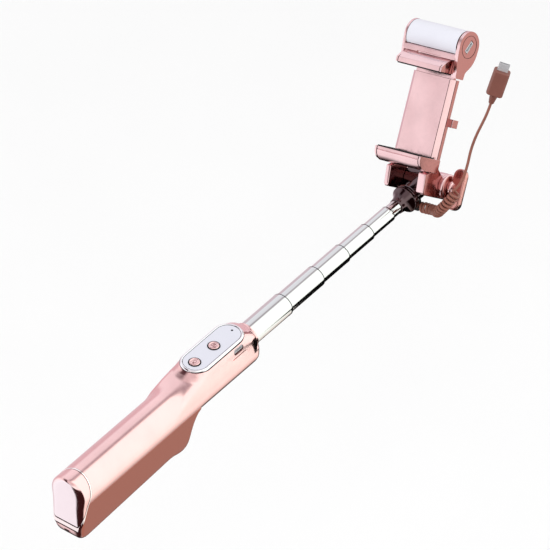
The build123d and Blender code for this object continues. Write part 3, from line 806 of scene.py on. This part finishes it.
def hinge_disc():
    profile = [(2.45, 16.02), (8.0, 16.02), (8.25, 16.3), (8.3, 16.8), (8.3, 18.0), (8.15, 18.6)]
    profile += [(7.7, 19.1), (7.0, 19.45), (6.0, 19.7), (4.6, 19.9), (2.45, 19.95)]
    disc = lathe(profile, "X", joined=True)
    add_mesh("hinge_disc", *disc, "clamp", "rose_head", place=HEAD, replaces=["hinge_cap"])


PLATE_HALF = 17.0
PLATE_V = 19.6
PLATE_TOP = 66.5
WALL_V = 14.0


def arm_profile():
    """Round hinge eye and the web up to the plate, as (v, u)."""
    eye = arc(0, 0, 8.3, 45, 270, 30)
    web = [(20.2, -8.3), (21.6, -7.2), (23.4, 4.8), (19.7, 6.5)]
    web += [(18.8, 7.0), (18.8, 17.0), (15.0, 17.0), (15.0, 12.5)]
    return eye + web


def clamp_frame():
    """Plate with chamfered long edges, its side walls and the two hinge arms."""
    half = [(PLATE_HALF - 3.3, PLATE_V), (PLATE_HALF, PLATE_V - 2.3), (PLATE_HALF, WALL_V)]
    half += [(PLATE_HALF - 1.6, WALL_V), (PLATE_HALF - 1.6, 16.2), (PLATE_HALF - 3.2, 17.9)]
    section = half + [(-x, v) for x, v in reversed(half)]
    rings = [[(x, -v, u) for x, v in section] for u in (6.6, PLATE_TOP)]
    plate = add_mesh("clamp_plate", *loft(rings), "clamp", "rose_head", place=HEAD, smooth=20,
                     replaces=["clamp_channel"])
    soften(plate, 0.22, 2, 20)
    for name, x0, x1 in (("left", -16.0, -12.0), ("right", 9.6, 16.0)):
        arm = add_mesh("clamp_arm_" + name, *prism(arm_profile(), x0, x1), "clamp", "rose_head", place=HEAD)
        soften(arm, 0.7, 1, 40)
    edges = (("front", PLATE_HALF - 3.35, PLATE_V + 0.02), ("side", PLATE_HALF + 0.02, PLATE_V - 2.35))
    for name, x, v in edges:
        line = [[(x + a, -v + b, u) for a, b in arc(0, 0, 0.17, 0, 315, 7)] for u in (7.2, PLATE_TOP - 0.2)]
        add_mesh("clamp_line_" + name, *loft(line), "clamp", "gap", place=HEAD)


LIGHT_U = 88.5
LIGHT_V = 20.6
EAR_V = 20.0
LIGHT_R = 10.0
PORT_TURN = -30            # degrees


def ear_profile(foot):
    """Round head that flows through a waist into the foot beside the jaw, as (v, u)."""
    head = arc(EAR_V, LIGHT_U, LIGHT_R, -14, 190, 40)
    back = [(10.3, 84.2), (10.9, 81.6), (11.9, 79.0), (13.4, 76.6)]
    back += [(15.2, 74.7), (16.8, 73.2), (17.9, 71.6), (18.3, foot)]
    front = [(25.8, foot), (26.7, foot + 1.2), (26.9, 71.2), (27.6, 73.2)]
    front += [(28.3, 75.6), (28.8, 78.4), (29.3, 81.4), (29.6, 84.0)]
    return head + back + front


def light_body():
    """The lamp's foot bar and curved back."""
    bar = [(12.6, 78.1), (28.9, 78.1), (29.2, 78.4), (29.0, 81.6)]
    bar += [(28.4, 82.2), (12.9, 82.2), (12.4, 81.6), (12.3, 78.6)]
    foot = add_mesh("light_foot", *prism(bar, -20.6, 20.6), "jaw_slider", "rose_head", place=HEAD,
                    replaces=["light_housing"])
    cut(foot, *prism([(28.5, 78.0), (40.0, 78.0), (40.0, 78.9), (28.5, 78.9)], -9.6, 9.6), place=HEAD)
    smooth_again(foot, 30)
    soften(foot, 0.25)
    outer = arc(LIGHT_V, LIGHT_U, LIGHT_R, 122, 219, 40)
    inner = arc(LIGHT_V, LIGHT_U, LIGHT_R - 1.3, 219, 122, 40)
    back = add_mesh("light_back", *prism(outer + inner, -20.0, 20.0), "jaw_slider", "rose_head", place=HEAD)
    soften(back, 0.15)


def port_opening(ear):
    """Seat of the port's disc in the right ear, and its slanting slot."""
    seat = lathe([(0.0, 21.7), (7.3, 21.7), (7.3, 30.0), (0.0, 30.0)], "X", 64, (0, -EAR_V, LIGHT_U))
    cut(ear, *seat, place=HEAD)
    turned = Matrix.Translation((0, -EAR_V, LIGHT_U)) @ Matrix.Rotation(math.radians(PORT_TURN), 4, "X")
    verts, faces = loft([[(h, a, b) for a, b in stadium(1.6, -2.8, 2.8, 10)] for h in (14.0, 30.0)])
    verts = [tuple(turned @ Vector(v)) for v in verts]
    cut(ear, verts, faces, place=HEAD)
    smooth_again(ear, 30)


def light_ears():
    """The lamp's two ends, each with a lug beside the jaw. The right one holds the port."""
    for side, name, foot in ((-1, "left", 69.6), (1, "right", 67.5)):
        x0, x1 = sorted((side * 20.0, side * 22.45))
        form = prism(ear_profile(foot), x0, x1)
        ear = add_mesh("light_ear_" + name, *form, "jaw_slider", "rose_head", place=HEAD)
        if side > 0:
            port_opening(ear)
        soften(ear, 0.8, 4, 40)
        x2, x3 = sorted((side * 18.3, side * 20.05))
        outline = [(18.7, foot), (25.6, foot), (26.3, foot + 1.5), (26.6, 74.0)]
        outline += [(26.6, 80.0), (18.4, 80.0), (18.4, 72.0)]
        lug = add_mesh("light_lug_" + name, *prism(outline, x2, x3), "jaw_slider", "rose_head", place=HEAD)
        soften(lug, 0.2)
    rim = [(7.05, 22.2), (7.32, 22.2), (7.32, 22.53), (7.05, 22.53)]
    seam = lathe(rim, "X", 64, (0, -EAR_V, LIGHT_U), joined=True)
    add_mesh("port_seam", *seam, "jaw_slider", "gap", place=HEAD)


def diffuser():
    """Frosted front of the lamp, a tube sector with soft edges."""
    outer = arc(LIGHT_V, LIGHT_U, LIGHT_R - 0.15, -38, 120, 60)
    inner = arc(LIGHT_V, LIGHT_U, LIGHT_R - 1.4, 120, -38, 60)
    obj = add_mesh("lamp_diffuser", *prism(outer + inner, -19.9, 19.9), "jaw_slider", "diffuser", place=HEAD,
                   replaces=["light_diffuser"])
    soften(obj, 0.3)
    line = arc(LIGHT_V, LIGHT_U, LIGHT_R - 0.1, -34, 120, 60)
    back = arc(LIGHT_V, LIGHT_U, LIGHT_R - 1.2, 120, -34, 60)
    for name, x0, x1 in (("left", -20.0, -19.9), ("right", 19.9, 20.0)):
        add_mesh("lamp_seam_" + name, *prism(line + back, x0, x1), "jaw_slider", "gap", place=HEAD)


# ---------------------------------------------------------------- cord

# Route points from the hinge: the coil's in the neck's frame, the free lead's in the model's
COIL = [
    (0.0020, -0.0120, -0.0110), (0.0090, -0.0120, -0.0110), (0.0150, -0.0126, -0.0104),
    (0.0210, -0.0174, -0.0074), (0.0270, -0.0198, -0.0020), (0.0330, -0.0182, 0.0038),
    (0.0370, -0.0134, 0.0090),
]
LEAD = [
    (0.03289, -0.01508, 0.01926), (0.0355, -0.0104, 0.0251), (0.0351, -0.0045, 0.0336),
    (0.0340, 0.0004, 0.0436), (0.0356, 0.0038, 0.0542), (0.0383, 0.0066, 0.0638),
    (0.0405, 0.0086, 0.0722), (0.0416, 0.0103, 0.0790),
]


def nurbs(name, points):
    """A curve object of one smooth open spline with these control points."""
    curve = bpy.data.curves.new(name, "CURVE")
    curve.dimensions = "3D"
    spline = curve.splines.new("NURBS")
    spline.points.add(len(points) - 1)
    for place, p in zip(spline.points, points):
        place.co = (*p, 1)
    spline.order_u = 3
    spline.use_endpoint_u = True
    spline.resolution_u = 6
    obj = bpy.data.objects.new(name, curve)
    bpy.context.scene.collection.objects.link(obj)
    return obj


def line_of(points):
    """Points along the smooth line of a route."""
    obj = nurbs("route", points)
    obj.data.splines[0].resolution_u = 40
    bpy.context.view_layer.update()
    mesh = bpy.data.meshes.new_from_object(obj.evaluated_get(bpy.context.evaluated_depsgraph_get()))
    found = [v.co.copy() for v in mesh.vertices]
    bpy.data.objects.remove(obj)
    return found


def spaced_frames(line, count):
    """Evenly spaced points on a line, each with its direction."""
    lengths = [0.0]
    for a, b in zip(line, line[1:]):
        lengths.append(lengths[-1] + (b - a).length)
    out, k = [], 0
    for i in range(count + 1):
        want = lengths[-1] * i / count
        while k < len(line) - 2 and lengths[k + 1] < want:
            k += 1
        share = (want - lengths[k]) / max(lengths[k + 1] - lengths[k], 1e-12)
        out.append((line[k].lerp(line[k + 1], share), (line[k + 1] - line[k]).normalized()))
    return out


def coil_points(lead_start):
    """Turns of the coiled stretch, wound round the smooth line of its route."""
    line = line_of([NECK @ Vector(p) for p in COIL])
    count = COIL_TURNS * POINTS_PER_TURN
    frames = spaced_frames(line, count)
    side = frames[0][1].orthogonal().normalized()
    sides = []
    for _, way in frames:
        side = (side - way * side.dot(way)).normalized()
        sides.append(side)
    end, way = frames[-1]
    aim = lead_start - end
    aim = (aim - way * aim.dot(way)).normalized()
    final = math.atan2(aim.dot(way.cross(sides[-1])), aim.dot(sides[-1]))
    points = []
    for i, ((place, way), side) in enumerate(zip(frames, sides)):
        turn = final - 2 * math.pi * (count - i) / POINTS_PER_TURN
        grown = smooth_step(i / (0.9 * POINTS_PER_TURN))
        loose = 1.0 + 0.05 * math.sin(0.9 * i / POINTS_PER_TURN) * (1 - i / count)
        r = COIL_LOOP_R * grown * loose
        points.append(place + side * (r * math.cos(turn)) + way.cross(side) * (r * math.sin(turn)))
    return points


def cord():
    lead = [HINGE + Vector(p) for p in LEAD]
    points = coil_points(lead[0]) + lead[1:]
    obj = nurbs("coiled_lead", points)
    obj.data.bevel_depth = CORD_D / 2
    obj.data.bevel_resolution = 4
    obj.data.materials.append(MATERIALS["cord"])
    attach(obj, "neck")
    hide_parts("cord_coil", "cord_lead")
    line = line_of(points)
    relief = strain_relief(lead)


def strain_relief(lead):
    """Ribbed taper where the lead enters the plug."""
    way = (lead[-1] - lead[-2]).normalized()
    side = way.orthogonal().normalized()
    place = columns(side, way.cross(side), way, lead[-1])
    profile = [(0.0, 0.0), (1.5, 0.0), (1.62, 0.1)]
    for k in range(5):
        h = 0.5 + 1.25 * k
        r = 1.75 + 0.2 * k
        profile += [(r, h), (r + 0.05, h + 0.15), (r + 0.05, h + 0.65)]
        profile += [(r, h + 0.8), (r - 0.28, h + 0.9), (r - 0.28, h + 1.15)]
    profile += [(2.75, 6.85), (2.85, 7.0), (0.0, 7.0)]
    return add_mesh("plug_relief", *lathe(profile, steps=40), "neck", "plug", place=place, smooth=50,
                    replaces=["plug_strain_relief"])


# ---------------------------------------------------------------- CAD parts that stay

# Edge radius of each
EDGE = {
    "channel_cover": 0.2, "bottom_jaw": 0.35, "bottom_jaw_pad": 0.12, "top_jaw": 0.35, "top_jaw_pad": 0.12,
    "slider_plate": 0.15, "cable_clip": 0.5, "control_panel": 0.12, "cord_gland": 0.4,
    "hinge_knuckle": 0.4, "hinge_nut": 0.3, "hinge_bolt": 0.3, "port_disc": 0.1, "plug_overmold": 0.7,
    "plug_shell": 0.12, "nose_collar": 0.2, "cover_screws": 0.12,
}
HEAD_NODES = ("channel_cover", "bottom_jaw", "top_jaw", "slider_plate", "cable_clip")


def dress_cad_parts():
    for name, obj in frame["nodes"].items():
        material = MATERIALS["rose_head" if name in HEAD_NODES else MATERIAL_OF_SLOT[SLOT_OF[name]]]
        obj.data.materials.clear()
        obj.data.materials.append(material)
        if name in EDGE:
            dress_cad(name, EDGE[name])


# ---------------------------------------------------------------- studio

STUDIO_AIM = Vector((0, 0.15, 0))
FLOOR_Z = -0.62
CARD_FAR = 0.3             # distance from the pole's axis


def area_light(name, place, size, power):
    """A soft round lamp aimed at the stick, kept out of its reflections."""
    light = bpy.data.lights.new(name, "AREA")
    light.shape = "DISK"
    light.size = size
    light.energy = power
    obj = bpy.data.objects.new(name, light)
    obj.location = place
    obj.rotation_mode = "QUATERNION"
    obj.rotation_quaternion = (STUDIO_AIM - Vector(place)).to_track_quat("-Z", "Y")
    bpy.context.scene.collection.objects.link(obj)
    obj.visible_glossy = False


def floor():
    mesh = bpy.data.meshes.new("floor")
    s, z = 12.0, FLOOR_Z
    mesh.from_pydata([(-s, -s, z), (s, -s, z), (s, s, z), (-s, s, z)], [], [(0, 1, 2, 3)])
    mat, tree, shader = new_material("floor_paper", (0.93, 0.93, 0.93), roughness=0.9)
    tint = ramp(tree, noise(tree, 8.0, 3.0), [(0.3, (0.925, 0.925, 0.925)), (0.7, (0.935, 0.935, 0.935))])
    tree.links.new(tint, shader.inputs["Base Color"])
    mesh.materials.append(mat)
    obj = bpy.data.objects.new("floor", mesh)
    bpy.context.scene.collection.objects.link(obj)
    obj.visible_glossy = False


def seen_in_gloss(name, mesh):
    """A studio piece that only the object's reflections see."""
    obj = bpy.data.objects.new(name, mesh)
    obj.visible_camera = False
    obj.visible_diffuse = False
    obj.visible_shadow = False
    obj.visible_transmission = False
    bpy.context.scene.collection.objects.link(obj)
    return obj


def surround():
    """A tent of light and dark cloth round the object, which only its reflections see."""
    mesh = bpy.data.meshes.new("tent")
    bm = bmesh.new()
    bmesh.ops.create_uvsphere(bm, u_segments=64, v_segments=32, radius=9.0)
    bm.to_mesh(mesh)
    bm.free()
    mat = bpy.data.materials.new("tent_cloth")
    mat.use_nodes = True
    tree = mat.node_tree
    tree.nodes.clear()
    out = tree.nodes.new("ShaderNodeOutputMaterial")
    glow = tree.nodes.new("ShaderNodeEmission")
    coord = tree.nodes.new("ShaderNodeTexCoord")
    split = tree.nodes.new("ShaderNodeSeparateXYZ")
    tree.links.new(coord.outputs["Object"], split.inputs["Vector"])
    turn = tree.nodes.new("ShaderNodeMath")
    turn.operation = "ARCTAN2"
    tree.links.new(split.outputs["X"], turn.inputs[0])
    tree.links.new(split.outputs["Z"], turn.inputs[1])
    share = tree.nodes.new("ShaderNodeMapRange")
    share.inputs["From Min"].default_value = -math.pi
    share.inputs["From Max"].default_value = math.pi
    tree.links.new(turn.outputs["Value"], share.inputs["Value"])
    ahead = ramp(tree, share.outputs["Result"], AHEAD)
    behind = ramp(tree, share.outputs["Result"], BEHIND)
    depth = tree.nodes.new("ShaderNodeMapRange")
    depth.inputs["From Min"].default_value = -2.2
    depth.inputs["From Max"].default_value = 1.0
    tree.links.new(split.outputs["Y"], depth.inputs["Value"])
    mix = tree.nodes.new("ShaderNodeMix")
    mix.data_type = "RGBA"
    tree.links.new(depth.outputs["Result"], mix.inputs["Factor"])
    tree.links.new(behind, mix.inputs["A"])
    tree.links.new(ahead, mix.inputs["B"])
    tree.links.new(mix.outputs["Result"], glow.inputs["Color"])
    glow.inputs["Strength"].default_value = 1.0
    tree.links.new(glow.outputs["Emission"], out.inputs["Surface"])
    mesh.materials.append(mat)
    obj = seen_in_gloss("tent", mesh)
    obj.location = STUDIO_AIM


def card():
    """A narrow black card beside the pole: the tubes' dark edge is its reflection."""
    corners = []
    for degrees in (116, 196):
        a = math.radians(degrees)
        for y in (0.30, 0.62):
            corners.append((CARD_FAR * math.sin(a), y, POLE_Z * MM + CARD_FAR * math.cos(a)))
    mesh = bpy.data.meshes.new("card")
    mesh.from_pydata([corners[0], corners[1], corners[3], corners[2]], [], [(0, 1, 2, 3)])
    mat, tree, shader = new_material("card_black", (0.004, 0.004, 0.004), roughness=1.0)
    tint = ramp(tree, noise(tree, 8.0, 3.0), [(0.3, (0.003, 0.003, 0.003)), (0.7, (0.005, 0.005, 0.005))])
    tree.links.new(tint, shader.inputs["Base Color"])
    shader.inputs["Specular IOR Level"].default_value = 0.0
    mesh.materials.append(mat)
    seen_in_gloss("card", mesh)


def around(degrees):
    """Place on the tent's ramp of an angle about the stick, from straight up towards the right."""
    return (degrees + 180) / 360


AHEAD = [
    (around(-180), (0.35, 0.26, 0.24)), (around(-175), (0.02, 0.01, 0.01)),
    (around(-147), (0.02, 0.01, 0.01)), (around(-140), (0.80, 0.66, 0.70)),
    (around(-74), (0.84, 0.68, 0.74)), (around(-60), (1.08, 1.10, 1.15)),
    (around(-24), (1.02, 1.02, 1.06)), (around(-12), (0.46, 0.40, 0.43)),
    (around(-6), (0.66, 0.62, 0.64)), (around(2), (1.5, 1.55, 1.5)),
    (around(100), (1.5, 1.55, 1.48)), (around(130), (1.4, 1.42, 1.32)),
    (around(155), (1.1, 1.0, 0.92)), (around(172), (0.75, 0.62, 0.56)),
    (around(180), (0.35, 0.26, 0.24)),
]
BEHIND = [
    (around(-180), (0.04, 0.01, 0.01)), (around(-161), (0.05, 0.02, 0.02)),
    (around(-152), (1.1, 1.07, 1.09)), (around(-90), (1.22, 1.24, 1.26)),
    (around(-70), (1.16, 1.16, 1.18)), (around(-56), (0.95, 0.88, 0.90)),
    (around(-45), (0.08, 0.03, 0.04)), (around(-28), (0.08, 0.03, 0.04)),
    (around(-18), (0.9, 0.82, 0.84)), (around(20), (0.85, 0.78, 0.78)),
    (around(36), (1.3, 1.3, 1.25)), (around(56), (1.4, 1.4, 1.35)),
    (around(67), (0.04, 0.01, 0.01)), (around(180), (0.04, 0.01, 0.01)),
]


def studio():
    world = bpy.data.worlds.new("studio")
    world.use_nodes = True
    world.node_tree.nodes["Background"].inputs["Color"].default_value = (1, 1, 1, 1)
    world.node_tree.nodes["Background"].inputs["Strength"].default_value = 0.82
    bpy.context.scene.world = world
    bpy.context.scene.view_settings.view_transform = "Standard"
    floor()
    surround()
    card()
    area_light("key", (1.6, -0.6, 2.2), 1.6, 26)
    area_light("fill", (-1.8, -0.6, 1.6), 1.8, 10)


def camera():
    data = bpy.data.cameras.new("camera")
    obj = bpy.data.objects.new("camera", data)
    azimuth, elevation = math.radians(37.6), math.radians(41.3)
    level = Vector((math.sin(azimuth), -math.cos(azimuth), 0))
    back = level * math.cos(elevation) + Vector((0, 0, math.sin(elevation)))
    aim = Vector((0.0003, 0.1412, 0.0343))
    obj.location = aim + back * 5.0
    obj.rotation_mode = "QUATERNION"
    obj.rotation_quaternion = (-back).to_track_quat("-Z", "Y")
    data.sensor_width = 36.0
    data.lens = 532.3
    data.clip_start = 0.1
    data.clip_end = 40.0
    bpy.context.scene.collection.objects.link(obj)
    bpy.context.scene.camera = obj


def main():
    camera()
    studio()
    dress_cad_parts()
    cord()
    upper_shell()
    belly_shell()
    rear_cap_shell()
    cap_trim()
    panel_frame()
    keys()
    pole()
    trumpet_collar()
    clamp_frame()
    tilt_knob()
    hinge_disc()
    light_body()
    light_ears()
    diffuser()


main()
